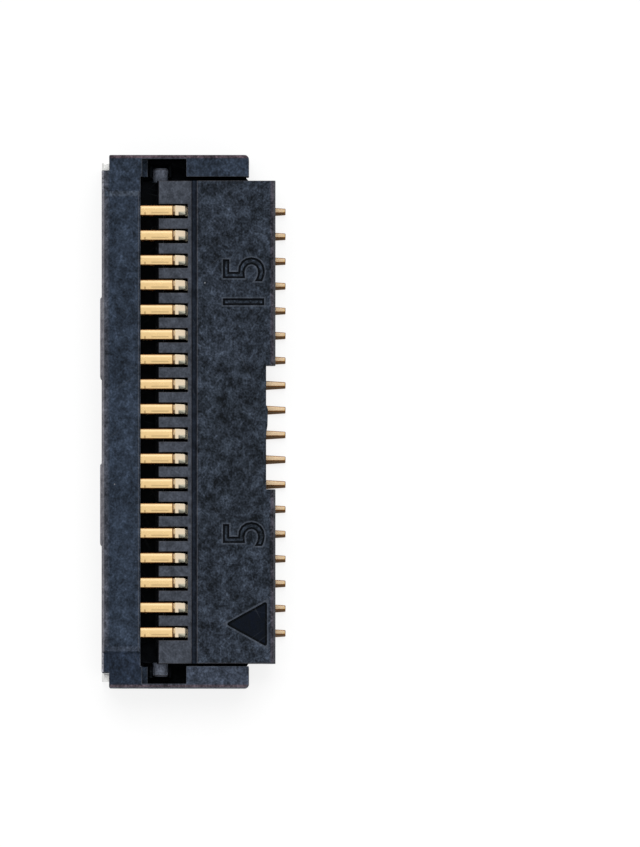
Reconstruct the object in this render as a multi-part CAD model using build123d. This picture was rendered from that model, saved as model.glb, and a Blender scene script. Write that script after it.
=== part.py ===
from build123d import *
import math
import os

# Back-flip FPC connector, 18 positions on a 0.5 mm pitch, 1.0 mm high, shown closed and empty.
# X runs along the contact row, the cable mouth faces -Y, the solder tails leave at +Y.
# Z is up from the board, and the origin is the middle of the footprint on the board.

# Contact row
positions = 18
pitch = 0.50
contact_thickness = 0.20

# Heights above the board
channel_skin = 0.08
floor_top = 0.28
slot_height = 0.36
roof_thickness = 0.36
roof_skin = 0.08
end_step = 0.05

# Depths from the front face back
roof_depth = 0.78
base_depth = 2.79
tooth_reach = 0.17
arm_depth = 2.964
actuator_depth = 3.498

# Cable slot, for a 0.3 mm thick cable
cable_margin = 0.50
cable_clearance = 0.03
mouth_lead = 0.08

# Actuator
pivot_height = 0.52
cam_half_height = 0.15
cam_half_width = 0.105
cam_corner = 0.045
axle_radius = 0.155
axle_length = 0.265
lock_play = 0.015
actuator_margin = 0.61
front_offset = 0.063
front_block_rise = 0.35
open_clearance = 0.053
floor_clearance = 0.10
slot_side_clearance = 0.045
slot_end_clearance = 0.023
sweep_clearance = 0.03
slot_land = 0.071
slope_run = 0.12
slope_foot_run = 0.03
slope_foot_rise = 0.05
slope_shelf_run = 0.04
slope_shelf_rise = 0.01
plate_recess = 0.06
lip_drop = 0.08
lip_depth = 0.17
lip_chamfer = 0.06
actuator_edge = 0.03

# Notch in the actuator's rear edge, with what is left of the moulding gate
notch_start = -1.144
notch_length = 2.50
notch_depth = 0.188
gate_centre = -0.065
gate_length = 0.57
gate_height = 0.035

# Pin 1 triangle, sunk in the plate
mark_tip_inset = 1.008
mark_length = 0.84
mark_width = 0.93
mark_depth = 0.04
mark_from_end = 0.793
mark_corner = 0.04

# Side arms and axle pockets
side_clearance = 0.07
arm_width = 0.435
pocket_wall = 0.08
pocket_ahead = 0.373
pocket_behind = 0.521
pocket_floor = 0.14
pocket_ledge_depth = 0.11
bearing_clearance = 0.02
bearing_drop = 0.07
bearing_side = 0.045
arm_corner = 0.09
arm_skirt = 0.16
arm_rear_undercut = 0.16
arm_undercut_height = 0.22

# Front edge of the housing
corner_recess = 0.31
corner_recess_depth = 0.15
pad_start = 0.85
pad_end = 2.50
pad_height = 0.03
roof_margin = 0.38
edge_chamfer = 0.05
roof_rear_chamfer = 0.035

# Rear ledge and teeth between the tails
ledge_height = 0.06
tooth_round = 0.11
tail_notch = 0.25
tail_notch_depth = 0.05
ledge_corner = 0.06

# Contacts
channel_clearance = 0.01
channel_end_gap = 0.02
channel_headroom = 0.02
front_tip_inset = 0.12
upper_arm = 0.17
lower_arm = 0.16
arm_tip_ease = 0.04
bump_inset = 0.32
bump_height = 0.08
bump_length = 0.20
bump_round = 0.05
pillar_width = 0.16
pillar_to_pivot = 0.233
cam_clearance = 0.023
hook_land = 0.005
hook_shoulder = 0.25
hook_seam_width = 0.05
hook_seam_root = 0.02
hook_seam_depth = 0.045
hook_step = 0.01
hook_nose = 0.028
hook_nose_drop = 0.075
hook_round = 0.02
hook_tip = 0.528
hook_tip_drop = 0.02
hook_tip_height = 0.27
hook_tip_slant = 0.05
hook_tip_radius = 0.045
hook_catch_run = 0.07
hook_catch_rise = 0.09
cam_seat_drop = 0.12
cam_seat_half = 0.20
cam_seat_ramp = 0.12
tail_thickness = 0.12
tail_bend_start = 0.15
tail_bend_run = 0.17
tail_bend_radius = 0.08
tail_bend_lag = 0.02
tail_foot = 0.59
tail_toe_radius = 0.03
tail_tip_width = 0.13
tail_taper = 0.55
tail_facet_length = 0.50
tail_facet_width = 0.08
hook_tip_width = 0.15
hook_taper = 0.05
hook_facet_length = 0.155
hook_facet_width = 0.065
facet_slope = 0.90

# Hold-down fittings
fitting_thickness = 0.16
fitting_from_side = 0.215
fitting_length = 0.91
fitting_height = 0.50
fitting_tip_height = 0.34
fitting_tip_past_corner = 0.04
fitting_ramp = 0.08
fitting_round = 0.05
fitting_rear_run = 0.20
fitting_rear_drop = 0.16
fitting_rear_lift = 0.10
fitting_toe_run = 0.10
fitting_toe_lift = 0.04
fitting_clearance = 0.01
fitting_cover = 0.05
relief_height = 0.08
relief_slope_start = 0.43
relief_slope_rise = 0.14

# Worked out from the sizes above
row_half = (positions - 1) * pitch / 2
slot_half = row_half + cable_margin + cable_clearance
actuator_half = row_half + actuator_margin
arm_inner = actuator_half + side_clearance
housing_half = arm_inner + arm_width
roof_half = row_half + roof_margin
slot_top = floor_top + slot_height
height = slot_top + roof_thickness
end_top = height - end_step
roof_channel_top = height - roof_skin
contact_top = roof_channel_top - channel_headroom
overall_depth = pad_height + base_depth + tail_bend_start + tail_bend_run + tail_foot
front = -overall_depth / 2 + pad_height
roof_rear = front + roof_depth
pivot = roof_rear + front_block_rise + open_clearance
base_rear = front + base_depth
ledge_rear = base_rear + tooth_reach
arm_rear = front + arm_depth
actuator_rear = front + actuator_depth
actuator_front = pivot - front_offset
block_top = pivot_height + front_block_rise
block_bottom = floor_top + floor_clearance
plate_bottom = block_bottom + plate_recess
slot_half_width = contact_thickness / 2 + slot_side_clearance
slot_reach = hook_tip + slot_end_clearance
hook_corner = (hook_tip - hook_nose, contact_top - hook_nose_drop - pivot_height)
hook_sweep = math.hypot(*hook_corner) + sweep_clearance
cam_room = math.hypot(cam_half_height, cam_half_width - cam_corner) + cam_clearance
hook_inner = cam_room + hook_land
bearing_radius = axle_radius + bearing_clearance
tail_end = overall_depth / 2
fitting_x = housing_half - fitting_from_side
fitting_rear = front + fitting_length

# How far a cut reaches past the surface, and an added piece into the one that it joins
cut_past = 0.5
joined = 0.1


def contact_places():
    """X of each contact, from the far end to pin 1's end."""
    return [index * pitch - row_half for index in range(positions)]


def across(points, half_width, radii=0.0, centre=0.0):
    """A Y-Z outline carried half_width to each side of X = centre."""
    outline = make_face(FilletPolyline(*points, radius=radii, close=True))
    return Pos(centre, 0, 0) * extrude(Plane.YZ * outline, half_width, both=True)


def upward(points, bottom, top, radii=0.0):
    """An X-Y outline raised from bottom to top."""
    outline = make_face(FilletPolyline(*points, radius=radii, close=True))
    return Pos(0, 0, bottom) * extrude(outline, top - bottom)


def block(x_range, y_range, z_range):
    """A straight block between two corners."""
    size = [high - low for low, high in (x_range, y_range, z_range)]
    middle = [(high + low) / 2 for low, high in (x_range, y_range, z_range)]
    return Pos(*middle) * Box(*size)


def round_bar(radius, half_length, y, z, centre=0.0):
    """A cylinder lying along X."""
    return Pos(centre, y, z) * Rot(0, 90, 0) * Cylinder(radius, 2 * half_length)


def both_ends(shape):
    """The shape and its mirror image at the other end of the connector."""
    return [shape, mirror(shape, Plane.YZ)]


def at_each_contact(shape):
    """A copy of the shape on every contact's centre line."""
    return [Pos(x, 0, 0) * shape for x in contact_places()]


def split(corners):
    """Points and corner radii as two lists."""
    return [point for point, _ in corners], [radius for _, radius in corners]


def contact_outline():
    """The stamped H seen from the side, clockwise from the tip of its upper front arm."""
    tip = front + front_tip_inset
    bump = front + bump_inset
    bump_start = bump - bump_length / 2
    bump_end = bump + bump_length / 2
    pillar_back = pivot - pillar_to_pivot
    pillar = pillar_back - pillar_width
    upper_bottom = contact_top - upper_arm
    lower_top = channel_skin + lower_arm
    hook_roof = pivot_height + hook_inner
    hook = pivot + hook_tip
    hook_bottom = pivot_height - hook_tip_drop
    seat_top = pivot_height - cam_seat_drop
    seat_rear = pivot + cam_seat_half
    bend = base_rear + tail_bend_start
    foot = bend + tail_bend_run
    shoulder = pivot + hook_shoulder
    catch = (pivot + hook_inner + hook_catch_run, hook_bottom + hook_catch_rise)
    upper = [
        ((tip, contact_top - arm_tip_ease), 0.0),
        ((pillar, contact_top), 0.0),
        ((shoulder, contact_top), 0.0),
        ((shoulder + hook_seam_root, contact_top - hook_seam_depth), 0.0),
        ((shoulder + hook_seam_width, contact_top - hook_step), 0.0),
        ((hook - hook_nose, contact_top - hook_nose_drop), hook_round),
        ((hook, hook_bottom + hook_tip_height), 0.0),
        ((hook - hook_tip_slant, hook_bottom), hook_tip_radius),
        (catch, 0.0),
        ((pivot + hook_inner, hook_roof), 0.0),
        ((pillar_back, hook_roof), 0.0),
    ]
    lower = [
        ((pillar_back, seat_top), 0.0),
        ((seat_rear, seat_top), 0.0),
        ((seat_rear + cam_seat_ramp, lower_top), 0.0),
        ((bend, lower_top), tail_bend_radius),
        ((foot, tail_thickness), tail_bend_radius),
        ((tail_end, tail_thickness), 0.0),
        ((tail_end, 0.0), tail_toe_radius),
        ((foot - tail_bend_lag, 0.0), tail_bend_radius),
        ((bend - tail_bend_lag, channel_skin), 0.0),
        ((tip, channel_skin), 0.0),
    ]
    mouth_side = [
        ((tip, lower_top - 2 * arm_tip_ease), 0.0),
        ((bump_start, lower_top - arm_tip_ease), 0.0),
        ((bump, floor_top + bump_height), bump_round),
        ((bump_end, lower_top), 0.0),
        ((pillar, lower_top), 0.0),
        ((pillar, upper_bottom), 0.0),
        ((bump_end, upper_bottom), 0.0),
        ((bump, slot_top - bump_height), bump_round),
        ((bump_start, upper_bottom), 0.0),
        ((tip, upper_bottom + arm_tip_ease), 0.0),
    ]
    return split(upper + lower + mouth_side)


def coined(end_y, tip_width, length, z_range):
    """The two wedges that narrow the rear end of a blade from its full thickness to tip_width."""
    half = contact_thickness / 2
    slope = (half - tip_width / 2) / length
    outside = half + cut_past
    wedge = [
        (half, end_y - length),
        (tip_width / 2 - slope * cut_past, end_y + cut_past),
        (outside, end_y + cut_past),
        (outside, end_y - length),
    ]
    return both_ends(upward(wedge, *z_range))


def side_facet(top, width, end_y, length):
    """The wedge that bevels a blade's upper edge on pin 1's side, near the blade's rear end."""
    half = contact_thickness / 2
    outline = [
        (half - width - joined, top + joined * facet_slope),
        (half + joined, top + joined * facet_slope),
        (half + joined, top - (width + joined) * facet_slope),
    ]
    wedge = extrude(Plane.XZ * make_face(Polyline(*outline, close=True)), length / 2 + joined, both=True)
    return Pos(0, end_y - length / 2 + joined, 0) * wedge


def contact():
    """One contact on X = 0: front arms, pillar, hook over the cam bar, cam seat and solder tail."""
    points, radii = contact_outline()
    hook_end = pivot + hook_tip
    blank = across(points, contact_thickness / 2, radii)
    blank -= round_bar(cam_room, contact_thickness, pivot, pivot_height)
    blank -= coined(tail_end, tail_tip_width, tail_taper, (-cut_past, channel_skin + lower_arm))
    blank -= coined(hook_end, hook_tip_width, hook_taper, (pivot_height - cam_seat_drop / 2, height))
    blank -= side_facet(tail_thickness, tail_facet_width, tail_end, tail_facet_length)
    nose_top = contact_top - (hook_step + hook_nose_drop) / 2
    blank -= side_facet(nose_top, hook_facet_width, hook_end, hook_facet_length)
    return blank


def channels():
    """What each contact needs cut from the housing: floor channel, roof channel and tail exit."""
    half = contact_thickness / 2 + channel_clearance
    lip = front + front_tip_inset - channel_end_gap
    rear = ledge_rear + cut_past
    under_roof = roof_rear + pocket_ledge_depth
    low = [(lip, channel_skin), (rear, channel_skin), (rear, slot_top), (lip, slot_top)]
    high = [
        (lip, floor_top),
        (under_roof, floor_top),
        (under_roof, roof_channel_top),
        (lip, roof_channel_top),
    ]
    return at_each_contact(across(low, half)) + at_each_contact(across(high, half))


def housing_plan():
    """Half of the housing's outline seen from above, closed on the X = 0 line by its mirror image."""
    corner_x = housing_half - corner_recess
    corner_y = front + corner_recess_depth
    right = [
        ((pad_start, front), 0.0),
        ((pad_start + pad_height, front - pad_height), 0.0),
        ((pad_end - pad_height, front - pad_height), 0.0),
        ((pad_end, front), 0.0),
        ((corner_x, front), 0.02),
        ((corner_x, corner_y), 0.0),
        ((housing_half, corner_y), 0.03),
        ((housing_half, arm_rear), arm_corner),
        ((arm_inner, arm_rear), 0.02),
        ((arm_inner, base_rear), 0.0),
    ]
    left = [((-x, y), radius) for (x, y), radius in reversed(right)]
    return split(right + left)


def roof():
    """The raised middle of the roof, with its front, rear and end edges eased."""
    section = [
        (front, slot_top),
        (front, height - edge_chamfer),
        (front + edge_chamfer, height),
        (roof_rear - roof_rear_chamfer, height),
        (roof_rear, height - roof_rear_chamfer),
        (roof_rear, slot_top),
    ]
    slab = across(section, roof_half + end_step)
    top_ends = slab.edges().filter_by(Axis.Y).group_by(Axis.Z)[-1]
    return chamfer(top_ends, end_step)


def mouth():
    """The cable slot, flared on all four sides where the cable goes in."""
    inside = roof_rear + cut_past / 2
    reach = mouth_lead + cut_past
    section = [
        (front - cut_past, floor_top - reach),
        (front - cut_past, slot_top + reach),
        (front + mouth_lead, slot_top),
        (inside, slot_top),
        (inside, floor_top),
        (front + mouth_lead, floor_top),
    ]
    flare = [
        (slot_half, front + mouth_lead),
        (slot_half + reach, front - cut_past),
        (slot_half - mouth_lead, front - cut_past),
        (slot_half - mouth_lead, front + mouth_lead),
    ]
    return [across(section, slot_half), *both_ends(upward(flare, floor_top, slot_top))]


def rear_ledge():
    """The shelf behind the base, from arm to arm, with round teeth between the tails."""
    inside = base_rear - joined
    corner = arm_inner - ledge_corner
    right = [(arm_inner, inside), (arm_inner, ledge_rear - ledge_corner), (corner, ledge_rear)]
    shelf = upward(right + [(-x, y) for x, y in reversed(right)], ledge_height, floor_top)
    notch_x = (-tail_notch / 2, tail_notch / 2)
    notch_y = (base_rear + tail_notch_depth, ledge_rear + cut_past)
    shelf -= at_each_contact(block(notch_x, notch_y, (0, height)))
    tooth_tips = shelf.edges().filter_by(Axis.Z).group_by(Axis.Y)[-1]
    return fillet(tooth_tips, tooth_round)


def pocket():
    """The open pocket in one side arm, with the bearing that the axle stub turns in."""
    wall = housing_half - pocket_wall
    front_wall = pivot - pocket_ahead
    inner = arm_inner - side_clearance
    room_y = (front_wall, pivot + pocket_behind)
    room = block((inner, wall), room_y, (pocket_floor, height + cut_past))
    ledge_top = fitting_height + fitting_clearance + fitting_cover
    cover_end = fitting_rear + fitting_clearance + fitting_cover
    ledge = [
        (front_wall - cut_past, 0.0),
        (cover_end, 0.0),
        (cover_end, ledge_top - fitting_rear_drop),
        (front_wall + pocket_ledge_depth, ledge_top),
        (front_wall - cut_past, ledge_top),
    ]
    seat_half = bearing_radius + bearing_side
    seat_end = actuator_half + axle_length + lock_play + bearing_clearance
    seat_y = (pivot - seat_half, pivot + seat_half)
    seat = block((arm_inner, seat_end), seat_y, (0, pivot_height - bearing_drop))
    seat -= round_bar(bearing_radius, cut_past, pivot, pivot_height, seat_end)
    solid_side = (wall + arm_inner) / 2
    return room - across(ledge, wall - solid_side, centre=solid_side) - seat


def fitting_slot():
    """The slot that one hold-down fitting is pressed into, open below and at the front."""
    top = fitting_height + fitting_clearance
    end = fitting_rear + fitting_clearance
    section = [
        (front - cut_past, -cut_past),
        (front - cut_past, top),
        (end - fitting_rear_run, top),
        (end, top - fitting_rear_drop),
        (end, -cut_past),
    ]
    return across(section, (fitting_thickness + fitting_clearance) / 2, centre=fitting_x)


def solder_relief():
    """The raised underside of the end wall outside one fitting, where its solder can rise."""
    slope_start = front + relief_slope_start
    slope_end = front + corner_recess_depth
    slope_top = relief_height + relief_slope_rise
    section = [
        (fitting_rear + fitting_clearance, -cut_past),
        (fitting_rear + fitting_clearance, relief_height),
        (slope_start, relief_height),
        (slope_end, slope_top),
        (slope_end - cut_past, slope_top),
        (slope_end - cut_past, -cut_past),
    ]
    return across(section, housing_half - fitting_x, centre=housing_half)


def front_under_chamfer():
    """The eased lower edge of the front face."""
    reach = edge_chamfer + cut_past
    wedge = [(front + reach, -cut_past), (front - cut_past, reach), (front - cut_past, -cut_past)]
    return across(wedge, housing_half)


def arm_undercut():
    """The step under the rear end of one side arm."""
    x_range = (arm_inner, housing_half - arm_skirt)
    y_range = (arm_rear - arm_rear_undercut, arm_rear + cut_past)
    return block(x_range, y_range, (-cut_past, arm_undercut_height))


def housing():
    """Base, end walls, side arms and roof as one moulding."""
    points, radii = housing_plan()
    body = upward(points, 0.0, end_top, radii)
    body += roof()
    bay_y = (roof_rear, arm_rear + cut_past)
    body -= block((-arm_inner, arm_inner), bay_y, (floor_top, height + cut_past))
    body += rear_ledge()
    body -= mouth()
    body -= channels()
    body -= front_under_chamfer()
    body -= both_ends(pocket())
    body -= both_ends(fitting_slot())
    body -= both_ends(solder_relief())
    body -= both_ends(arm_undercut())
    return body


def actuator_section():
    """The actuator's section between two contacts, clockwise from its lower front corner."""
    block_end = pivot + slot_reach + slot_land
    plate_start = block_end + slope_run
    lip_front = actuator_rear - lip_depth
    lip_bottom = plate_bottom - lip_drop
    foot_y = block_end + slope_foot_run
    foot_z = block_top + slope_foot_rise
    return [
        (actuator_front + actuator_edge, block_bottom),
        (actuator_front, block_bottom + actuator_edge),
        (actuator_front, block_top - actuator_edge),
        (actuator_front + actuator_edge, block_top),
        (block_end, block_top),
        (foot_y, foot_z),
        (foot_y + slope_shelf_run, foot_z + slope_shelf_rise),
        (plate_start, height),
        (actuator_rear - actuator_edge, height),
        (actuator_rear, height - actuator_edge),
        (actuator_rear, lip_bottom + lip_chamfer),
        (actuator_rear - lip_chamfer, lip_bottom),
        (lip_front, lip_bottom),
        (lip_front - lip_drop / 2, plate_bottom),
        (plate_start, plate_bottom),
        (block_end, block_bottom),
    ]


def hook_room():
    """The slot that lets one contact's pillar and hook through while the actuator turns."""
    rear = pivot + slot_reach
    ahead = actuator_front - cut_past
    section = [(ahead, 0.0), (rear, 0.0), (rear, height), (ahead, height)]
    sweep = round_bar(hook_sweep, slot_half_width, pivot, pivot_height)
    return across(section, slot_half_width) + sweep


def rear_notch():
    """The shallow cut in the rear edge, round what is left of the gate."""
    end = notch_start + notch_length
    inner = actuator_rear - notch_depth
    gate = [
        (gate_centre - gate_length / 2, inner),
        (gate_centre - gate_length / 3, inner + gate_height),
        (gate_centre + gate_length / 5, inner + gate_height * 0.8),
        (gate_centre + gate_length / 2, inner),
    ]
    cut = block((notch_start, end), (inner, actuator_rear + cut_past), (0, height + cut_past))
    return cut - upward([*gate, (gate_centre, inner - joined)], 0, height)


def pin_one_mark():
    """The sunk triangle that points at the contact row from pin 1's end of the plate."""
    tip = (actuator_half - mark_from_end, actuator_rear - mark_tip_inset)
    base_y = tip[1] + mark_length
    outline = [tip, (tip[0] + mark_width / 2, base_y), (tip[0] - mark_width / 2, base_y)]
    return upward(outline, height - mark_depth, height + cut_past, mark_corner)


def axle_stub():
    """The stub that the actuator turns on at one end, its outer rim chamfered."""
    start = actuator_half - actuator_edge
    end = actuator_half + axle_length
    stub = round_bar(axle_radius, (end - start) / 2, pivot, pivot_height, (end + start) / 2)
    outer_rim = stub.edges().filter_by(GeomType.CIRCLE).group_by(Axis.X)[-1]
    return chamfer(outer_rim, actuator_edge)


def cam_bar():
    """The bar through all the slots: taller than wide when closed, so that it props the hooks up."""
    across_flat = cam_half_width - cam_corner
    up_flat = cam_half_height - cam_corner
    quarter = [(cam_half_width, up_flat), (across_flat, cam_half_height)]
    upper = quarter + [(-y, z) for y, z in reversed(quarter)]
    outline = upper + [(-y, -z) for y, z in upper]
    points = [(pivot + y, pivot_height + z) for y, z in outline]
    return across(points, row_half + 2 * slot_half_width)


def actuator():
    """The flip lock: plate, slotted front, a cam bar in each slot and an axle stub at each end."""
    body = across(actuator_section(), actuator_half)
    body -= at_each_contact(hook_room())
    body += cam_bar()
    body += both_ends(axle_stub())
    body -= rear_notch()
    body -= pin_one_mark()
    return Pos(lock_play, 0, 0) * body


def fitting():
    """One hold-down plate, its soldered edge on the board and its front tip in the corner recess."""
    shoulder = front + corner_recess_depth + fitting_tip_past_corner
    slope_top = fitting_rear - fitting_rear_run
    points, radii = split(
        [
            ((front, fitting_toe_lift), fitting_toe_lift / 2),
            ((front, fitting_tip_height), fitting_round),
            ((shoulder, fitting_tip_height), 0.0),
            ((shoulder + fitting_ramp, fitting_height), fitting_round / 2),
            ((slope_top, fitting_height), fitting_round),
            ((fitting_rear, fitting_height - fitting_rear_drop), fitting_round),
            ((fitting_rear, fitting_rear_lift), 0.0),
            ((slope_top, 0.0), 0.0),
            ((front + fitting_toe_run, 0.0), 0.0),
        ]
    )
    return across(points, fitting_thickness / 2, radii, fitting_x)


def write(shape, name):
    """Write one piece as parts/NAME.step."""
    export_step(shape, f"parts/{name}.step")


write(housing(), "housing")
write(actuator(), "actuator")
stamping = contact()
for number, x in enumerate(reversed(contact_places()), start=1):
    write(Pos(x, 0, 0) * stamping, f"contact_{number:02d}")
right, left = both_ends(fitting())
write(right, "fitting_right")
write(left, "fitting_left")
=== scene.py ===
import math

import bpy
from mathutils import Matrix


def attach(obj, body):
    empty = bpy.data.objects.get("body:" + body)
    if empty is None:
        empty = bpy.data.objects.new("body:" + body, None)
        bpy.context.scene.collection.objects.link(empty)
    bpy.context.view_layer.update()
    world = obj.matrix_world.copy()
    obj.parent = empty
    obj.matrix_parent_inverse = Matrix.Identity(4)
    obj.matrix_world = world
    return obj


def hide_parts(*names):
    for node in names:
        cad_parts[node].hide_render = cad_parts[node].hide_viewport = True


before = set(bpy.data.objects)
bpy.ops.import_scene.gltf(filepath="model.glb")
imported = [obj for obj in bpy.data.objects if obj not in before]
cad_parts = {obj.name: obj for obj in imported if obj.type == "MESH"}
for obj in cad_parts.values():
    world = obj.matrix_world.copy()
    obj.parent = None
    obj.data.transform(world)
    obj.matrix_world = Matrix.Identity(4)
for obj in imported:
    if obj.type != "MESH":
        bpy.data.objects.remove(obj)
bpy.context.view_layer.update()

# Lengths are in millimetres until a finished piece is shrunk to metres
MM = 0.001
PITCH = 0.50
POSITIONS = 18
ROW_HALF = (POSITIONS - 1) * PITCH / 2

# Camera, as the photograph was taken: from almost straight above, along the row
VIEW_HEIGHT = 17.08
VIEW_CENTRE = (0.015, 2.560)
CAMERA_DISTANCE = 500.0
CAMERA_LEAN = math.radians(1.84)
SENSOR = 36.0

# What the camera sees, the floor and the lamps' height, in metres
CLIP_START, CLIP_END = 0.01, 10.0
FLOOR_SIZE = 2.0
FLOOR_DROP = 0.00002
LAMP_HEIGHT = 0.2

FLOOR_TONE = 0.22
FLOOR_GLOW = 0.80
WORLD_LIGHT = 0.55

# Cleaning of the CAD's triangles, and the rounding of edges
MERGE_DISTANCE = 0.0002
FLAT_ANGLE = math.radians(0.5)
SHARP_ANGLE = math.radians(30)
SMOOTH_ANGLE = math.radians(40)
EDGE_SEGMENTS = 2
RESIN_RADIUS = 0.010
CONTACT_RADIUS = 0.014
FITTING_RADIUS = 0.012

# The lock's play along the row, and the breaks of its top: slotted block, slope, plate
LOCK_PLAY = 0.015
BLOCK_END = -0.030
PLATE_START = 0.090
SLOPE_BOTTOM = 0.86
SLOPE_MARGIN = 0.005
SLOT_HALF_WIDTH = 0.15

# Numbers and pin 1 triangle sunk in the plate
TOP = 1.0
NUMBERS = (("5", 2.25), ("15", -2.75))
NUMBER_Y = 1.07
NUMBER_HEIGHT = 0.87
TEXT_SIZE = NUMBER_HEIGHT * 1.36
TEXT_SPACING = 1.12
TEXT_RESOLUTION = 4
TEXT_MERGE_DISTANCE = 0.001
NUMBER_GROW = 0.012
NUMBER_DEPTH = 0.035
TRENCH_WIDTH = 0.042
RIM_WIDTH = 0.030
RIM_DEPTH = 0.003
CUTTER_RISE = 0.1
MARK_X = 4.067 + LOCK_PLAY
MARK_TIP_Y = 0.655
MARK_LENGTH = 0.84
MARK_WIDTH = 0.93
MARK_NEAR_X = 3.5

# Where the coined tip of a hook starts, and how soft the change of tone is
HOOK_TIP_START = -0.352
HOOK_TIP_SOFTNESS = 0.012

# Patches of another tone on the resin lie above this height
PATCH_HEIGHT = 0.92


# Choosing places and faces

ANY = (-math.inf, math.inf)


def above(value):
    """The range over a value."""
    return value, math.inf


def below(value):
    """The range under a value."""
    return -math.inf, value


def between(values, ranges):
    """Whether each value lies inside its range."""
    return all(low < value < high for value, (low, high) in zip(values, ranges))


def place(across=ANY, along=ANY, height=ANY):
    """A test for points by distance from the middle of the row, depth and height."""
    return lambda point: between((abs(point.x), point.y, point.z), (across, along, height))


def faces(where=place(), side=ANY, back=ANY, up=ANY):
    """A test for faces by the place of the centre and the lean of the normal: +X, +Y and +Z."""
    return lambda centre, normal: where(centre) and between(normal, (side, back, up))


# Working on meshes

def deselect():
    """Nothing is selected, so that an operator acts only on what is picked next."""
    bpy.ops.object.select_all(action="DESELECT")


def pick(piece):
    """Select one piece and make it active."""
    deselect()
    piece.select_set(True)
    bpy.context.view_layer.objects.active = piece


def resize(piece, factor):
    """Scale a piece's mesh about the origin."""
    pick(piece)
    piece.scale = (factor, factor, factor)
    bpy.ops.object.transform_apply(location=False, rotation=False, scale=True)


def merged_copy(node, name):
    """A CAD node's shape as a new piece in millimetres, its triangles merged into flat faces."""
    piece = bpy.data.objects.new(name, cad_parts[node].data.copy())
    bpy.context.scene.collection.objects.link(piece)
    piece.data.materials.clear()
    resize(piece, 1 / MM)
    bpy.ops.object.mode_set(mode="EDIT")
    bpy.ops.mesh.select_all(action="SELECT")
    bpy.ops.mesh.remove_doubles(threshold=MERGE_DISTANCE)
    bpy.ops.mesh.customdata_custom_splitnormals_clear()
    bpy.ops.mesh.dissolve_limited(angle_limit=FLAT_ANGLE)
    bpy.ops.object.mode_set(mode="OBJECT")
    return piece


def give_materials(piece, *materials):
    """Give a piece its materials, and return their numbers in it."""
    for material in materials:
        piece.data.materials.append(material)
    return range(len(materials))


def apply_modifier(piece, kind, **settings):
    """Add one modifier with its settings and apply it."""
    pick(piece)
    bpy.ops.object.modifier_add(type=kind)
    modifier = piece.modifiers[-1]
    for key, value in settings.items():
        setattr(modifier, key, value)
    bpy.ops.object.modifier_apply(modifier=modifier.name)


def select_faces(piece, test):
    """Edit mode with just the faces selected that pass the test."""
    pick(piece)
    bpy.ops.object.mode_set(mode="EDIT")
    bpy.ops.mesh.select_mode(type="FACE")
    bpy.ops.mesh.select_all(action="DESELECT")
    bpy.ops.object.mode_set(mode="OBJECT")
    for face in piece.data.polygons:
        face.select = test(face.center, face.normal)
    bpy.ops.object.mode_set(mode="EDIT")


def round_edges(piece, radius, material, left_sharp=()):
    """Round the sharp edges, apart from those whose middle is in a place to leave."""
    pick(piece)
    bpy.ops.object.mode_set(mode="EDIT")
    bpy.ops.mesh.select_mode(type="EDGE")
    bpy.ops.mesh.select_all(action="DESELECT")
    bpy.ops.mesh.edges_select_sharp(sharpness=SHARP_ANGLE)
    if left_sharp:
        bpy.ops.object.mode_set(mode="OBJECT")
        points = piece.data.vertices
        chosen = []
        for edge in piece.data.edges:
            middle = (points[edge.vertices[0]].co + points[edge.vertices[1]].co) / 2
            if edge.select and not any(where(middle) for where in left_sharp):
                chosen.append(edge.index)
        bpy.ops.object.mode_set(mode="EDIT")
        bpy.ops.mesh.select_all(action="DESELECT")
        bpy.ops.object.mode_set(mode="OBJECT")
        for index in chosen:
            piece.data.edges[index].select = True
        bpy.ops.object.mode_set(mode="EDIT")
    bpy.ops.mesh.bevel(
        offset=radius, segments=EDGE_SEGMENTS, affect="EDGES", clamp_overlap=False, material=material
    )
    bpy.ops.object.mode_set(mode="OBJECT")


def finish_piece(piece):
    """Smooth the rounded edges, keep the flats flat, and shrink the piece to metres."""
    pick(piece)
    bpy.ops.object.shade_smooth_by_angle(angle=SMOOTH_ANGLE)
    apply_modifier(piece, "WEIGHTED_NORMAL", keep_sharp=True)
    resize(piece, MM)


def paint_faces(piece, material, *tests):
    """Give the faces that pass one of the tests the material of that number."""
    for face in piece.data.polygons:
        if any(test(face.center, face.normal) for test in tests):
            face.material_index = material


def cut(piece, cutter):
    """Take the cutter's shape out of a piece."""
    apply_modifier(piece, "BOOLEAN", operation="DIFFERENCE", object=cutter, solver="EXACT")
    bpy.data.objects.remove(cutter)


# Working on materials

def add(tree, kind, inputs=None, **settings):
    """A shader node with its settings, and its inputs as values or as sockets to link from."""
    made = tree.nodes.new("ShaderNode" + kind)
    for key, value in settings.items():
        setattr(made, key, value)
    for key, value in (inputs or {}).items():
        if isinstance(value, bpy.types.NodeSocket):
            tree.links.new(value, made.inputs[key])
        else:
            made.inputs[key].default_value = value
    return made


def use(tree, effect, inputs):
    """The outputs of one of the shared effects, placed in a material with its own values."""
    return add(tree, "Group", inputs, node_tree=effect).outputs


def calc(tree, operation, *values):
    """The result of one Math node."""
    return add(tree, "Math", dict(enumerate(values)), operation=operation).outputs[0]


def fold(tree, operation, first, *others):
    """The result of one operation over several values, such as the largest of them."""
    for value in others:
        first = calc(tree, operation, first, value)
    return first


def clamp(tree, value):
    """A value held between 0 and 1."""
    return add(tree, "Clamp", {"Value": value}).outputs[0]


def spread(tree, value, low, high, to_low=0.0, to_high=1.0):
    """A value brought from one range to another, and held inside it."""
    inputs = {"Value": value, "From Min": low, "From Max": high, "To Min": to_low, "To Max": to_high}
    return add(tree, "MapRange", inputs).outputs["Result"]


def soft_edge(tree, inside, softness):
    """A mask, before it is held between 0 and 1, that is one half where the distance inside is none."""
    return calc(tree, "ADD", calc(tree, "DIVIDE", inside, softness), 0.5)


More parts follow.
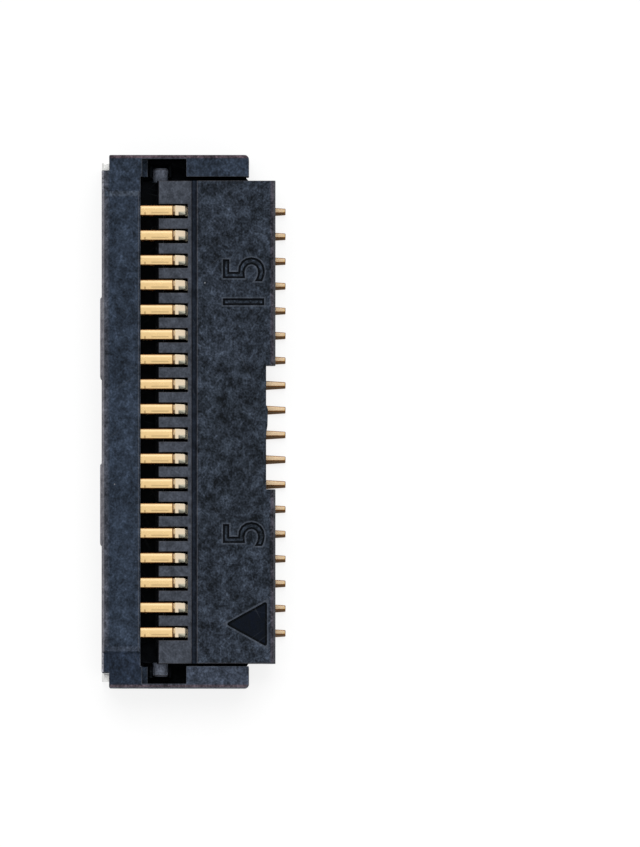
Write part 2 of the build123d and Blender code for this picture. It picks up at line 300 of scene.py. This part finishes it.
def mix(tree, factor, first, second):
    """The colour that one Mix node gives."""
    return add(tree, "Mix", {0: factor, 6: first, 7: second}, data_type="RGBA").outputs[2]


def scaled(tree, colour, light):
    """A colour made lighter or darker."""
    return add(tree, "VectorMath", {0: colour, "Scale": light}, operation="SCALE").outputs[0]


def noise(tree, where, scale, detail=2.0):
    """Noise from 0 to 1. Scales are per metre."""
    return add(tree, "TexNoise", {"Vector": where, "Scale": scale, "Detail": detail}).outputs["Fac"]


def stretched_noise(tree, where, turn, stretch, scale):
    """Noise drawn out into short strokes that lie at one angle to the row."""
    inputs = {"Vector": where, "Angle": math.radians(turn)}
    turned = add(tree, "VectorRotate", inputs, rotation_type="Z_AXIS").outputs[0]
    drawn = add(tree, "Mapping", {"Vector": turned, "Scale": (1.0, 1.0 / stretch, 1.0)}).outputs[0]
    return noise(tree, drawn, scale)


def group(name, inputs, outputs):
    """An empty node group with a vector and other inputs, and its two end nodes."""
    tree = bpy.data.node_groups.new(name, "ShaderNodeTree")
    tree.interface.new_socket(name="Vector", in_out="INPUT", socket_type="NodeSocketVector")
    for label, value in inputs.items():
        kind = "NodeSocketColor" if label == "Colour" else "NodeSocketFloat"
        tree.interface.new_socket(name=label, in_out="INPUT", socket_type=kind).default_value = value
    for label in outputs:
        kind = "NodeSocketColor" if label == "Colour" else "NodeSocketFloat"
        tree.interface.new_socket(name=label, in_out="OUTPUT", socket_type=kind)
    return tree, tree.nodes.new("NodeGroupInput").outputs, tree.nodes.new("NodeGroupOutput").inputs


# The shared effects

CLOUD_SCALE = 3600.0
BLOTCH_SCALE = 9500.0
GRAIN_SCALE = 24000.0
FIBRE_SCALE = 26000.0
FIBRE_STRETCH = 7.0
FIBRE_TURNS = (35, -50, 80)
SCRATCH_SCALE = 21000.0
SCRATCH_STRETCH = 22.0
SCRATCH_TURNS = (14, 63, -38)
SPECK_SCALE = 3200.0
SPECK_SIZE = 0.06
SPECK_EDGE = 0.03
PLATING_CLOUD_SCALE = 7000.0
DRAWN_LINE_SCALE = 30000.0
DRAWN_LINE_STRETCH = 12.0
HEIGHT_EDGE = 0.01
DISPLAY_POWER = 2.2
DARKEST_GRAIN = 0.3


def make_grain_effect():
    """Resin straight from a spark-eroded mould: clouds, blotches, fine grain and the fibres in it."""
    inputs = {"Clouds": 0.5, "Blotches": 0.5, "Grain": 0.5, "Fibres": 0.5}
    tree, start, end = group("Moulded grain", inputs, ("Light", "Roughness", "Height"))
    where = start["Vector"]
    clouds = noise(tree, where, CLOUD_SCALE)
    blotches = noise(tree, where, BLOTCH_SCALE)
    grain = noise(tree, where, GRAIN_SCALE)
    strokes = [stretched_noise(tree, where, turn, FIBRE_STRETCH, FIBRE_SCALE) for turn in FIBRE_TURNS]
    fibres = fold(tree, "MAXIMUM", *(spread(tree, stroke, 0.58, 0.76) for stroke in strokes))

    light = calc(tree, "MULTIPLY", fibres, start["Fibres"])
    for pattern, strength in ((clouds, "Clouds"), (blotches, "Blotches"), (grain, "Grain")):
        change = calc(tree, "MULTIPLY", calc(tree, "SUBTRACT", pattern, 0.5), start[strength])
        light = calc(tree, "ADD", light, change)
    # Light and dark steps look alike to the eye only after the display's own power
    eased = calc(tree, "MULTIPLY_ADD", light, 1 / DISPLAY_POWER, 1.0)
    eased = calc(tree, "MAXIMUM", eased, DARKEST_GRAIN)
    tree.links.new(calc(tree, "POWER", eased, DISPLAY_POWER), end["Light"])
    tree.links.new(spread(tree, blotches, 0.3, 0.7, 0.50, 0.68), end["Roughness"])
    weighted = [
        calc(tree, "MULTIPLY", pattern, weight)
        for pattern, weight in ((blotches, 0.6), (grain, 0.4), (fibres, 0.2))
    ]
    tree.links.new(fold(tree, "ADD", *weighted), end["Height"])
    return tree


def make_scratch_effect():
    """Fine light scratches and rub marks from handling, long and few."""
    tree, start, end = group("Fine scratches", {"Amount": 0.5}, ("Mask",))
    lines = [
        stretched_noise(tree, start["Vector"], turn, SCRATCH_STRETCH, SCRATCH_SCALE)
        for turn in SCRATCH_TURNS
    ]
    found = fold(tree, "MAXIMUM", *(spread(tree, line, 0.66, 0.76) for line in lines))
    tree.links.new(calc(tree, "MULTIPLY", found, start["Amount"]), end["Mask"])
    return tree


def make_speck_effect():
    """Small light specks, few and far between."""
    tree, start, end = group("Light specks", {"Share": 0.2}, ("Mask",))
    cell = add(tree, "TexVoronoi", {"Vector": start["Vector"], "Scale": SPECK_SCALE}).outputs
    luck = add(tree, "SeparateXYZ", {"Vector": cell["Color"]}).outputs["X"]
    chosen = calc(tree, "LESS_THAN", luck, start["Share"])
    inside = calc(tree, "SUBTRACT", SPECK_SIZE, cell["Distance"])
    near = clamp(tree, calc(tree, "DIVIDE", inside, SPECK_EDGE))
    tree.links.new(calc(tree, "MULTIPLY", near, chosen), end["Mask"])
    return tree


def make_band_effect():
    """A mask of what lies between two depths behind the middle of the part, in millimetres."""
    inputs = {"From": 0.0, "To": 1.0, "Softness": 0.01}
    tree, start, end = group("Band across the part", inputs, ("Mask",))
    depth = add(tree, "SeparateXYZ", {"Vector": start["Vector"]}).outputs["Y"]
    depth = calc(tree, "DIVIDE", depth, MM)
    after = calc(tree, "SUBTRACT", depth, start["From"])
    before = calc(tree, "SUBTRACT", start["To"], depth)
    mask = soft_edge(tree, calc(tree, "MINIMUM", after, before), start["Softness"])
    tree.links.new(clamp(tree, mask), end["Mask"])
    return tree


def make_plating_effect():
    """Plated metal: cloudy tone, drawing lines along the strip and a slightly uneven skin."""
    inputs = {"Colour": (0.7, 0.5, 0.25, 1), "Cloud": 0.3, "Roughness": 0.25}
    tree, start, end = group("Plated skin", inputs, ("Colour", "Roughness", "Height"))
    where = start["Vector"]
    cloud = noise(tree, where, PLATING_CLOUD_SCALE, detail=3.0)
    lines = stretched_noise(tree, where, 0, DRAWN_LINE_STRETCH, DRAWN_LINE_SCALE)
    tone = calc(tree, "ADD", calc(tree, "SUBTRACT", cloud, 0.5), calc(tree, "MULTIPLY", lines, 0.4))
    tone = calc(tree, "MULTIPLY", calc(tree, "SUBTRACT", tone, 0.2), start["Cloud"])
    tree.links.new(scaled(tree, start["Colour"], calc(tree, "ADD", tone, 1.0)), end["Colour"])
    rough = calc(tree, "ADD", start["Roughness"], calc(tree, "MULTIPLY", tone, -0.35))
    tree.links.new(rough, end["Roughness"])
    height = calc(tree, "ADD", calc(tree, "MULTIPLY", cloud, 0.7), calc(tree, "MULTIPLY", lines, 0.3))
    tree.links.new(height, end["Height"])
    return tree


def make_patch_effect():
    """A soft rectangle in millimetres, repeated along the row, on what lies above a height."""
    inputs = {
        "Across": 0.0,
        "Along": 0.0,
        "Half width": 0.1,
        "Half length": 0.1,
        "Softness": 0.01,
        "Repeat": 100.0,
        "Middle": 0.0,
        "Above": -1.0,
    }
    tree, start, end = group("Soft patch", inputs, ("Mask",))
    spot = add(tree, "SeparateXYZ", {"Vector": start["Vector"]}).outputs
    x, y, z = (calc(tree, "DIVIDE", spot[axis], MM) for axis in "XYZ")
    half_step = calc(tree, "MULTIPLY", start["Repeat"], 0.5)
    x = calc(tree, "SUBTRACT", x, start["Middle"])
    x = calc(tree, "WRAP", x, half_step, calc(tree, "MULTIPLY", half_step, -1.0))
    masks = [calc(tree, "DIVIDE", calc(tree, "SUBTRACT", z, start["Above"]), HEIGHT_EDGE)]
    for distance, middle, half in ((x, "Across", "Half width"), (y, "Along", "Half length")):
        away = calc(tree, "ABSOLUTE", calc(tree, "SUBTRACT", distance, start[middle]))
        inside = calc(tree, "SUBTRACT", start[half], away)
        masks.append(soft_edge(tree, inside, start["Softness"]))
    tree.links.new(clamp(tree, fold(tree, "MINIMUM", *masks)), end["Mask"])
    return tree


grain_effect = make_grain_effect()
scratch_effect = make_scratch_effect()
speck_effect = make_speck_effect()
band_effect = make_band_effect()
plating_effect = make_plating_effect()
patch_effect = make_patch_effect()


# The materials

RUBBED_TONE = (0.11, 0.125, 0.15, 1)
SPECK_TONE = (0.20, 0.21, 0.23, 1)
RESIN_SHEEN = (0.72, 0.86, 1.0, 1)
SCRATCH_SHARE = 0.12
RESIN_BUMP = 0.008
GOLD_BUMP = 0.0015
TIN_BUMP = 0.002


def new_material(name):
    """A material with its Principled shader, its node tree and the piece's own coordinates."""
    material = bpy.data.materials.new(name)
    material.use_nodes = True
    tree = material.node_tree
    shader = tree.nodes["Principled BSDF"]
    return material, tree, shader, add(tree, "TexCoord").outputs["Object"]


def patched(tree, where, tone, patches, **common):
    """A tone with softly edged patches of other tones, each labelled with what it shows."""
    for label, ((across, along), (half_width, half_length), softness, colour) in patches.items():
        inputs = {
            "Vector": where,
            "Across": across,
            "Along": along,
            "Half width": half_width,
            "Half length": half_length,
            "Softness": softness,
            **common,
        }
        patch = add(tree, "Group", inputs, node_tree=patch_effect, label=label)
        tone = mix(tree, patch.outputs["Mask"], tone, (*colour, 1))
    return tone


def connect_skin(tree, shader, colour, roughness, height, bump):
    """Colour, roughness and a bump of some millimetres into the shader."""
    tree.links.new(colour, shader.inputs["Base Color"])
    tree.links.new(roughness, shader.inputs["Roughness"])
    made = add(tree, "Bump", {"Height": height, "Strength": 1.0, "Distance": bump * MM})
    tree.links.new(made.outputs[0], shader.inputs["Normal"])


def resin(name, colour, contrast=1.0, specks=0.12, specular=0.08, patches=None):
    """Black-blue moulded resin. Patches are places on its top with another tone."""
    material, tree, shader, where = new_material(name)
    strengths = {"Clouds": 1.5, "Blotches": 1.9, "Grain": 1.9, "Fibres": 0.5}
    grain = {label: strength * contrast for label, strength in strengths.items()}
    skin = use(tree, grain_effect, {"Vector": where, **grain})
    if patches:
        colour = patched(tree, where, (*colour, 1), patches, Above=PATCH_HEIGHT)
    tone = scaled(tree, colour, skin["Light"])
    rubbed = use(tree, scratch_effect, {"Vector": where, "Amount": SCRATCH_SHARE})["Mask"]
    tone = mix(tree, rubbed, tone, RUBBED_TONE)
    specked = use(tree, speck_effect, {"Vector": where, "Share": specks})["Mask"]
    tone = mix(tree, specked, tone, SPECK_TONE)
    connect_skin(tree, shader, tone, skin["Roughness"], skin["Height"], RESIN_BUMP)
    shader.inputs["Specular IOR Level"].default_value = specular
    shader.inputs["Specular Tint"].default_value = RESIN_SHEEN
    return material


def plate_over(tree, shader, where, tone, cloud, roughness, metallic, bump):
    """Plating of a tone, its bump in millimetres, into the shader."""
    inputs = {"Vector": where, "Colour": tone, "Cloud": cloud, "Roughness": roughness}
    skin = use(tree, plating_effect, inputs)
    connect_skin(tree, shader, skin["Colour"], skin["Roughness"], skin["Height"], bump)
    shader.inputs["Metallic"].default_value = metallic


def gold(name, colour, tip_colour, patches=None, cloud=0.3, roughness=0.28, metallic=1.0):
    """Gold over a sprung copper alloy, another tone where the hook's tip is coined, partly a painted
    reflection.
    Patches are painted highlights, painted shade and a drawn streak that every contact of the row has."""
    material, tree, shader, where = new_material(name)
    tip_range = {"From": HOOK_TIP_START, "To": 0.0, "Softness": HOOK_TIP_SOFTNESS}
    tip = use(tree, band_effect, {"Vector": where, **tip_range})["Mask"]
    tone = mix(tree, tip, (*colour, 1), (*tip_colour, 1))
    tone = patched(tree, where, tone, patches or {}, Repeat=PITCH, Middle=PITCH / 2)
    plate_over(tree, shader, where, tone, cloud, roughness, metallic, GOLD_BUMP)
    return material


def tin(name, colour):
    """Bright tin plating."""
    material, tree, shader, where = new_material(name)
    finish = {"cloud": 0.35, "roughness": 0.3, "metallic": 1.0, "bump": TIN_BUMP}
    plate_over(tree, shader, where, (*colour, 1), **finish)
    return material


# Patches: middle, half width and half length, softness, tone
housing_patches = {
    # Painted highlight along the front edge
    "painted highlight along the front edge": ((0.00, -1.80), (6.00, 0.10), 0.07, (0.0405, 0.0445, 0.0576)),
    "darker corner at pin 1": ((5.01, -1.40), (0.37, 0.42), 0.05, (0.0135, 0.0195, 0.0331)),
    "lighter arm at pin 1": ((5.15, 0.50), (0.30, 0.68), 0.06, (0.0320, 0.0400, 0.0576)),
    # Painted highlights on the roof's end steps, brighter at the far end
    "painted highlight, far end of the roof": ((-4.585, -1.44), (0.050, 0.40), 0.035, (0.0425, 0.0535, 0.0736)),
    "painted highlight, near end of the roof": ((4.585, -1.44), (0.050, 0.40), 0.035, (0.0335, 0.0425, 0.0616)),
    "brown rim, far end": ((-5.345, 0.00), (0.040, 1.90), 0.025, (0.0685, 0.0475, 0.0576)),
    "brown rim, near end": ((5.345, 0.00), (0.040, 1.90), 0.025, (0.0605, 0.0465, 0.0556)),
    # Painted highlights on the front face at both ends
    "painted highlight on the front, far end": ((-4.88, -1.83), (0.26, 0.035), 0.020, (0.21, 0.21, 0.235)),
    "painted highlight on the front, near end": ((4.88, -1.83), (0.26, 0.035), 0.020, (0.21, 0.21, 0.235)),
}
lock_patches = {
    "darker middle": ((0.80, 0.85), (1.70, 0.70), 0.90, (0.0149, 0.0191, 0.0266)),
    "brownish rear edge": ((0.00, 1.62), (6.00, 0.055), 0.040, (0.0300, 0.0270, 0.0346)),
}
blade_patches = {
    # Painted highlight along the top edge
    "painted highlight along the top edge": ((-0.062, -0.72), (0.016, 0.33), 0.030, (0.76, 0.58, 0.33)),
    "drawn streak": ((0.046, -0.66), (0.009, 0.17), 0.026, (0.36, 0.25, 0.12)),
    # Painted shade in a dent near the roof
    "painted shade in a dent near the roof": ((0.066, -0.964), (0.026, 0.010), 0.024, (0.20, 0.12, 0.05)),
    # Painted highlight on the seam, and painted shade at its end
    "seam": ((0.000, -0.377), (0.120, 0.020), 0.016, (0.98, 0.82, 0.56)),
    "painted shade at the end of the seam": ((0.060, -0.380), (0.036, 0.018), 0.024, (0.06, 0.030, 0.010)),
    # Painted shade on one side of the tip
    "painted shade on one side of the tip": ((0.066, -0.190), (0.044, 0.092), 0.020, (0.37, 0.35, 0.27)),
    # Painted shade over the tail and on one side of it, and a painted glint at its end
    "tail": ((0.000, 1.600), (0.200, 0.400), 0.080, (0.52, 0.39, 0.25)),
    "painted shade on one side of the tail": ((0.066, 1.600), (0.036, 0.400), 0.030, (0.22, 0.145, 0.060)),
    "painted glint at the end of the tail": ((0.040, 1.850), (0.060, 0.025), 0.030, (0.52, 0.36, 0.15)),
}

housing_resin = resin(
    "housing_resin", (0.0192, 0.0270, 0.0420), contrast=1.33, patches=housing_patches
)
# Painted highlight on the housing's rounded edges
housing_edge_highlight = resin("housing_edge_highlight", (0.0505, 0.0565, 0.0706), contrast=0.7)
# Painted highlight on the housing's front chamfers
front_edge_highlight = resin("front_edge_highlight", (0.1455, 0.1425, 0.1596), contrast=0.6)
# Painted shade for deep places: the bay, the pockets, the slots, the block's front and the marks' walls
shaded_resin = resin("shaded_resin", (0.0012, 0.0014, 0.0020), contrast=0.5, specks=0, specular=0.05)
lock_resin = resin("lock_resin", (0.0168, 0.0215, 0.0304), contrast=2.1, patches=lock_patches)
block_resin = resin("block_resin", (0.0455, 0.0515, 0.0656), contrast=0.75)
# Painted shade on the slope down from the plate to the slotted block
slope_shade_resin = resin("slope_shade_resin", (0.0092, 0.0124, 0.0195), specks=0.3, specular=0.05)
# Painted highlight on the lock's stubs
stub_highlight_resin = resin("stub_highlight_resin", (0.0980, 0.1100, 0.1400))
# Painted highlight on the lock's rounded edges, rear edge and rear underside
lock_edge_highlight = resin("lock_edge_highlight", (0.0525, 0.0525, 0.0606), contrast=0.7)
mark_floor = resin("mark_floor", (0.0010, 0.0018, 0.0046), specks=0)
# Painted highlight on the shallow rims round the marks
mark_rim_highlight = resin("mark_rim_highlight", (0.0445, 0.0525, 0.0686), contrast=0.7)

contact_gold = gold(
    "contact_gold", (0.605, 0.43, 0.21), (0.59, 0.49, 0.36), blade_patches, cloud=0.16
)
contact_shear = gold("contact_shear", (0.15, 0.065, 0.022), (0.34, 0.25, 0.16), roughness=0.4)
# Painted shade on the facets of the tip and the tail
contact_facet_shade = gold(
    "contact_facet_shade", (0.10, 0.055, 0.020), (0.38, 0.37, 0.295), roughness=0.45, metallic=0.2
)
# Painted highlight on the hook's nose and the seam's walls
contact_nose_highlight = gold(
    "contact_nose_highlight",
    (0.66, 0.50, 0.30),
    (0.78, 0.70, 0.55),
    blade_patches,
    cloud=0.1,
    roughness=0.45,
    metallic=0.3,
)
# Painted light: a lighter copy of the gold for the underside
contact_under_lit = gold("contact_under_lit", (0.72, 0.51, 0.26), (0.72, 0.51, 0.26))
fitting_tin = tin("fitting_tin", (0.70, 0.70, 0.69))


# The pieces

def make_housing():
    """The housing with its moulded edges rounded and painted with a highlight, its front chamfers
    painted with a brighter highlight, and its deep places painted in shade.
    """
    piece = merged_copy("housing", "housing_moulding")
    _, edge, sunk, front_highlight = give_materials(piece, housing_resin, housing_edge_highlight, shaded_resin, front_edge_highlight)

    front, roof = below(-1.75), above(0.93)
    roof_end = place(across=(4.5, 4.8), height=roof)
    plate_slot = place(across=(5.0, 5.3), along=below(-1.3), height=below(0.7))
    top_chamfer = faces(place(along=front, height=above(0.9)), back=below(-0.5), up=above(0.5))
    low_chamfer = faces(place(along=front, height=below(0.1)), back=below(-0.5), up=below(-0.5))
    front_ledge = faces(place(along=below(-1.825), height=roof), up=above(0.3))
    bay = faces(place(across=below(4.94), along=(-1.06, 0.90), height=(0.2, 0.93)))
    pocket = faces(place(across=(4.92, 5.29), along=(-1.03, -0.12), height=(0.1, 0.54)))

    # The rounded edges take a painted highlight, the front chamfers a brighter painted highlight, and
    # the bay and the pockets painted shade
    round_edges(piece, RESIN_RADIUS, edge, (roof_end, plate_slot))
    paint_faces(piece, front_highlight, top_chamfer, low_chamfer, front_ledge)
    paint_faces(piece, sunk, bay, pocket)
    finish_piece(piece)
    return piece


def number_outline(body, centre, grow, depth):
    """A plain number as a block, its top towards the cable mouth, grown outwards by a margin."""
    low, high = TOP - depth, TOP + CUTTER_RISE
    deselect()
    bpy.ops.object.text_add()
    text = bpy.context.object
    text.data.body = body
    text.data.align_x = "CENTER"
    text.data.align_y = "CENTER"
    text.data.resolution_u = TEXT_RESOLUTION
    text.data.size = TEXT_SIZE
    text.data.space_character = TEXT_SPACING
    text.data.offset = grow
    text.data.extrude = (high - low) / 2
    bpy.ops.object.convert(target="MESH")
    outline = bpy.context.object
    bpy.ops.transform.rotate(value=math.pi, orient_axis="Z", center_override=(0, 0, 0))
    bpy.ops.transform.translate(value=(*centre, (high + low) / 2))
    bpy.ops.object.transform_apply(location=True, rotation=True, scale=True)
    bpy.ops.object.mode_set(mode="EDIT")
    bpy.ops.mesh.select_all(action="SELECT")
    bpy.ops.mesh.remove_doubles(threshold=TEXT_MERGE_DISTANCE)
    bpy.ops.object.mode_set(mode="OBJECT")
    return outline


def sink_number(piece, body, centre):
    """Sink a number in the plate, inside a shallow rim that takes a painted highlight."""
    cut(piece, number_outline(body, centre, NUMBER_GROW + RIM_WIDTH, RIM_DEPTH))
    cut(piece, number_outline(body, centre, NUMBER_GROW, NUMBER_DEPTH))


def sink_triangle_rim(piece):
    """The same shallow rim, which takes a painted highlight, round the pin 1 triangle."""
    longer, wider, ahead = 3.2 * RIM_WIDTH, 2.0 * RIM_WIDTH, 2.2 * RIM_WIDTH
    deselect()
    bpy.ops.mesh.primitive_cylinder_add(vertices=3, radius=1.0, depth=2 * CUTTER_RISE)
    block = bpy.context.object
    bpy.ops.transform.rotate(value=math.pi, orient_axis="Z", center_override=(0, 0, 0))
    # Of a triangle in a circle of radius 1, the length is 1.5 and half the base is sqrt(3) / 2
    radius_along = (MARK_LENGTH + longer) / 1.5
    radius_across = (MARK_WIDTH / 2 + wider) / (math.sqrt(3) / 2)
    bpy.ops.transform.resize(value=(radius_across, radius_along, 1.0), center_override=(0, 0, 0))
    middle = (MARK_X, MARK_TIP_Y - ahead + radius_along, TOP - RIM_DEPTH + CUTTER_RISE)
    bpy.ops.transform.translate(value=middle)
    bpy.ops.object.transform_apply(location=True, rotation=True, scale=True)
    cut(piece, block)


def make_lock():
    """The actuator: rounded edges with a painted highlight, slots painted in shade, and position numbers
    and a triangle sunk in its plate.
    """
    piece = merged_copy("actuator", "flip_lock")
    main, edge, sunk, floor, rim, block, slope, stub = give_materials(
        piece,
        lock_resin,
        lock_edge_highlight,
        shaded_resin,
        mark_floor,
        mark_rim_highlight,
        block_resin,
        slope_shade_resin,
        stub_highlight_resin,
    )

    slope_range = (BLOCK_END, PLATE_START)
    slope_inside = (BLOCK_END + SLOPE_MARGIN, PLATE_START - SLOPE_MARGIN)
    block_top = faces(place(along=below(BLOCK_END)), up=above(0.5))
    block_front = faces(place(across=below(4.88), along=below(-0.68)), back=below(-0.2))
    slope_top = faces(place(along=slope_range, height=above(SLOPE_BOTTOM)), up=above(0.2))
    slope_edges = place(along=slope_inside, height=above(SLOPE_BOTTOM))
    stubs = faces(place(across=above(4.95), height=below(0.72)))
    rear_edge = faces(place(along=above(1.3)), back=above(0.5), up=above(0.5))
    rear_underside = faces(place(along=above(1.45)), up=below(-0.3))
    slotted = place(across=below(4.5), along=below(BLOCK_END), height=below(SLOPE_BOTTOM))

    marks_across, marks_along = below(4.75), (0.55, 1.58)
    marks = place(marks_across, marks_along, above(0.95))
    rim_height, wall_height = (TOP - 0.006, TOP - 0.001), (0.95, TOP - RIM_DEPTH)
    mark_rims = faces(place(marks_across, marks_along, rim_height), up=above(0.9))
    mark_walls = faces(place(marks_across, marks_along, wall_height), up=(-0.5, 0.5))
    mark_floors = faces(place(along=marks_along, height=(0.955, 0.98)), up=above(0.9))

    def slots(centre, normal):
        """The slots round the contacts, which repeat along the row."""
        from_row_end = centre.x - LOCK_PLAY + ROW_HALF
        from_contact = abs((from_row_end + PITCH / 2) % PITCH - PITCH / 2)
        return from_contact < SLOT_HALF_WIDTH and slotted(centre)

    paint_faces(piece, block, block_top)
    # Painted shade on the slope and in the slots, a painted highlight on the stubs and the rear edges
    paint_faces(piece, slope, slope_top)
    paint_faces(piece, stub, stubs)
    paint_faces(piece, edge, rear_edge, rear_underside)
    paint_faces(piece, sunk, slots)
    # The rounded edges take a painted highlight, and the block's front painted shade
    round_edges(piece, RESIN_RADIUS, edge, (marks, slope_edges))
    paint_faces(piece, sunk, block_front)
    for body, x in NUMBERS:
        sink_number(piece, body, (x + LOCK_PLAY, NUMBER_Y))
    sink_triangle_rim(piece)
    # A painted highlight on the marks' rims, painted shade on their walls and floors
    paint_faces(piece, rim, mark_rims)
    paint_faces(piece, sunk, mark_walls, mark_floors)
    # A trench in painted shade stays round each floor, which is plain resin in the numbers
    select_faces(piece, mark_floors)
    bpy.ops.mesh.inset(thickness=TRENCH_WIDTH, depth=0.0)
    bpy.ops.object.mode_set(mode="OBJECT")
    for face in piece.data.polygons:
        if face.select:
            face.material_index = floor if face.center.x > MARK_NEAR_X else main
    finish_piece(piece)
    return piece


def make_contacts():
    """One contact with rounded edges, and its copies along the row."""
    model = merged_copy("contact_01", "contact_blade_01")
    bright, shear, grey, pale, low = give_materials(
        model, contact_gold, contact_shear, contact_facet_shade, contact_nose_highlight, contact_under_lit
    )

    under = faces(up=below(-0.7))
    nose = faces(place(along=(-0.20, -0.05), height=above(0.6)), back=above(0.4), up=above(0.05))
    seam = place(along=(-0.41, -0.345), height=above(0.8))
    seam_walls = (faces(seam, back=wall, up=above(0.1)) for wall in (above(0.3), below(-0.3)))
    facet = faces(side=above(0.5), up=above(0.5))
    nose_edge_place = place(along=(-0.165, -0.05), height=above(0.76))
    nose_edge = faces(nose_edge_place, side=(-0.4, 0.4), back=above(0.5))
    facet_edge_place = place(along=(-0.30, -0.13), height=above(0.76))
    facet_edge = faces(facet_edge_place, side=(0.2, 0.7), up=above(0.25))
    tip = faces(place(along=(-0.357, 0.0), height=above(0.75)), side=below(0.45), up=above(0.55))

    # The underside in a lighter gold as painted light, the nose and the seam's walls with a painted
    # highlight, and the facets in painted shade
    paint_faces(model, low, under)
    paint_faces(model, pale, nose, *seam_walls)
    paint_faces(model, grey, facet)
    round_edges(model, CONTACT_RADIUS, shear)
    # The nose's edges keep the painted highlight, and the facet's edges the painted shade
    paint_faces(model, pale, nose_edge)
    paint_faces(model, grey, facet_edge)
    paint_faces(model, bright, tip)
    finish_piece(model)
    blades = [model]
    for number in range(2, POSITIONS + 1):
        pick(model)
        bpy.ops.object.duplicate(linked=False)
        blade = bpy.context.object
        blade.name = f"contact_blade_{number:02d}"
        bpy.ops.transform.translate(value=(-(number - 1) * PITCH * MM, 0, 0))
        bpy.ops.object.transform_apply(location=True, rotation=False, scale=False)
        blades.append(blade)
    return blades


def make_fitting(node, name):
    """One hold-down plate with its stamped edges rounded."""
    piece = merged_copy(node, name)
    (plating,) = give_materials(piece, fitting_tin)
    round_edges(piece, FITTING_RADIUS, plating)
    finish_piece(piece)
    return piece


housing = make_housing()
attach(housing, "base")
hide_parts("housing")

lock = make_lock()
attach(lock, "lock")
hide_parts("actuator")

for number, blade in enumerate(make_contacts(), start=1):
    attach(blade, "base")
    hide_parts(f"contact_{number:02d}")

for side in ("left", "right"):
    plate = make_fitting(f"fitting_{side}", f"hold_down_{side}")
    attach(plate, "base")
    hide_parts(f"fitting_{side}")


# Floor, light and camera

def seen_directly(tree):
    """Whether a ray comes from the camera, from a mirror or through glass."""
    paths = add(tree, "LightPath").outputs
    kinds = ("Camera", "Glossy", "Transmission")
    return fold(tree, "MAXIMUM", *(paths[f"Is {kind} Ray"] for kind in kinds))


def make_floor():
    """A white table top with the part's soft shadow, which lets the light from below through."""
    deselect()
    bpy.ops.mesh.primitive_plane_add(size=FLOOR_SIZE, location=(0, 0, -FLOOR_DROP))
    floor = bpy.context.object
    floor.name = "table_top"
    bpy.ops.object.transform_apply(location=True, rotation=False, scale=False)
    material = bpy.data.materials.new("white_table")
    material.use_nodes = True
    tree = material.node_tree
    tree.nodes.clear()
    faint = add(tree, "BsdfDiffuse", {"Color": (FLOOR_TONE, FLOOR_TONE, FLOOR_TONE, 1)})
    glow = add(tree, "Emission", {"Color": (1, 1, 1, 1), "Strength": FLOOR_GLOW})
    shown = add(tree, "AddShader", {0: faint.outputs[0], 1: glow.outputs[0]})
    clear = add(tree, "BsdfTransparent")
    behind = add(tree, "NewGeometry").outputs["Backfacing"]
    visible = calc(tree, "MULTIPLY", seen_directly(tree), calc(tree, "SUBTRACT", 1.0, behind))
    final = add(tree, "MixShader", {0: visible, 1: clear.outputs[0], 2: shown.outputs[0]})
    add(tree, "OutputMaterial", {"Surface": final.outputs[0]})
    floor.data.materials.append(material)


def make_world():
    """Even soft light all round, and plain white where it is seen or mirrored."""
    world = bpy.data.worlds.new("studio")
    bpy.context.scene.world = world
    world.use_nodes = True
    tree = world.node_tree
    tree.nodes.clear()
    soft = add(tree, "Background", {"Color": (1, 1, 1, 1), "Strength": WORLD_LIGHT})
    white = add(tree, "Background", {"Color": (1, 1, 1, 1), "Strength": 1.0})
    seen = add(tree, "MixShader", {0: seen_directly(tree), 1: soft.outputs[0], 2: white.outputs[0]})
    add(tree, "OutputWorld", {"Surface": seen.outputs[0]})


def make_lamp(name, rotation, strength, spread_angle):
    """A broad soft lamp, turned from straight down by the rotation in degrees."""
    deselect()
    bpy.ops.object.light_add(type="SUN", location=(0, 0, LAMP_HEIGHT))
    lamp = bpy.context.object
    lamp.name = name
    lamp.rotation_euler = [math.radians(value) for value in rotation]
    lamp.data.energy = strength
    lamp.data.angle = math.radians(spread_angle)


def make_camera():
    """The long lens above the part, leaning a little along the row."""
    deselect()
    bpy.ops.object.camera_add()
    camera = bpy.context.object
    lean = math.sin(CAMERA_LEAN) * CAMERA_DISTANCE
    rise = math.cos(CAMERA_LEAN) * CAMERA_DISTANCE
    camera.location = [value * MM for value in (VIEW_CENTRE[0] + lean, VIEW_CENTRE[1], rise)]
    camera.rotation_euler = (CAMERA_LEAN, 0, math.radians(90))
    camera.data.sensor_width = SENSOR
    camera.data.lens = SENSOR * CAMERA_DISTANCE / VIEW_HEIGHT
    camera.data.clip_start = CLIP_START
    camera.data.clip_end = CLIP_END
    bpy.context.scene.camera = camera


make_floor()
make_world()
make_lamp("key_lamp", (0, -38, 0), 1.75, 50)
make_lamp("fill_lamp", (-30, 20, 0), 0.4, 80)
make_lamp("low_lamp", (160, 0, 0), 1.5, 90)
make_camera()
bpy.context.scene.view_settings.view_transform = "Standard"
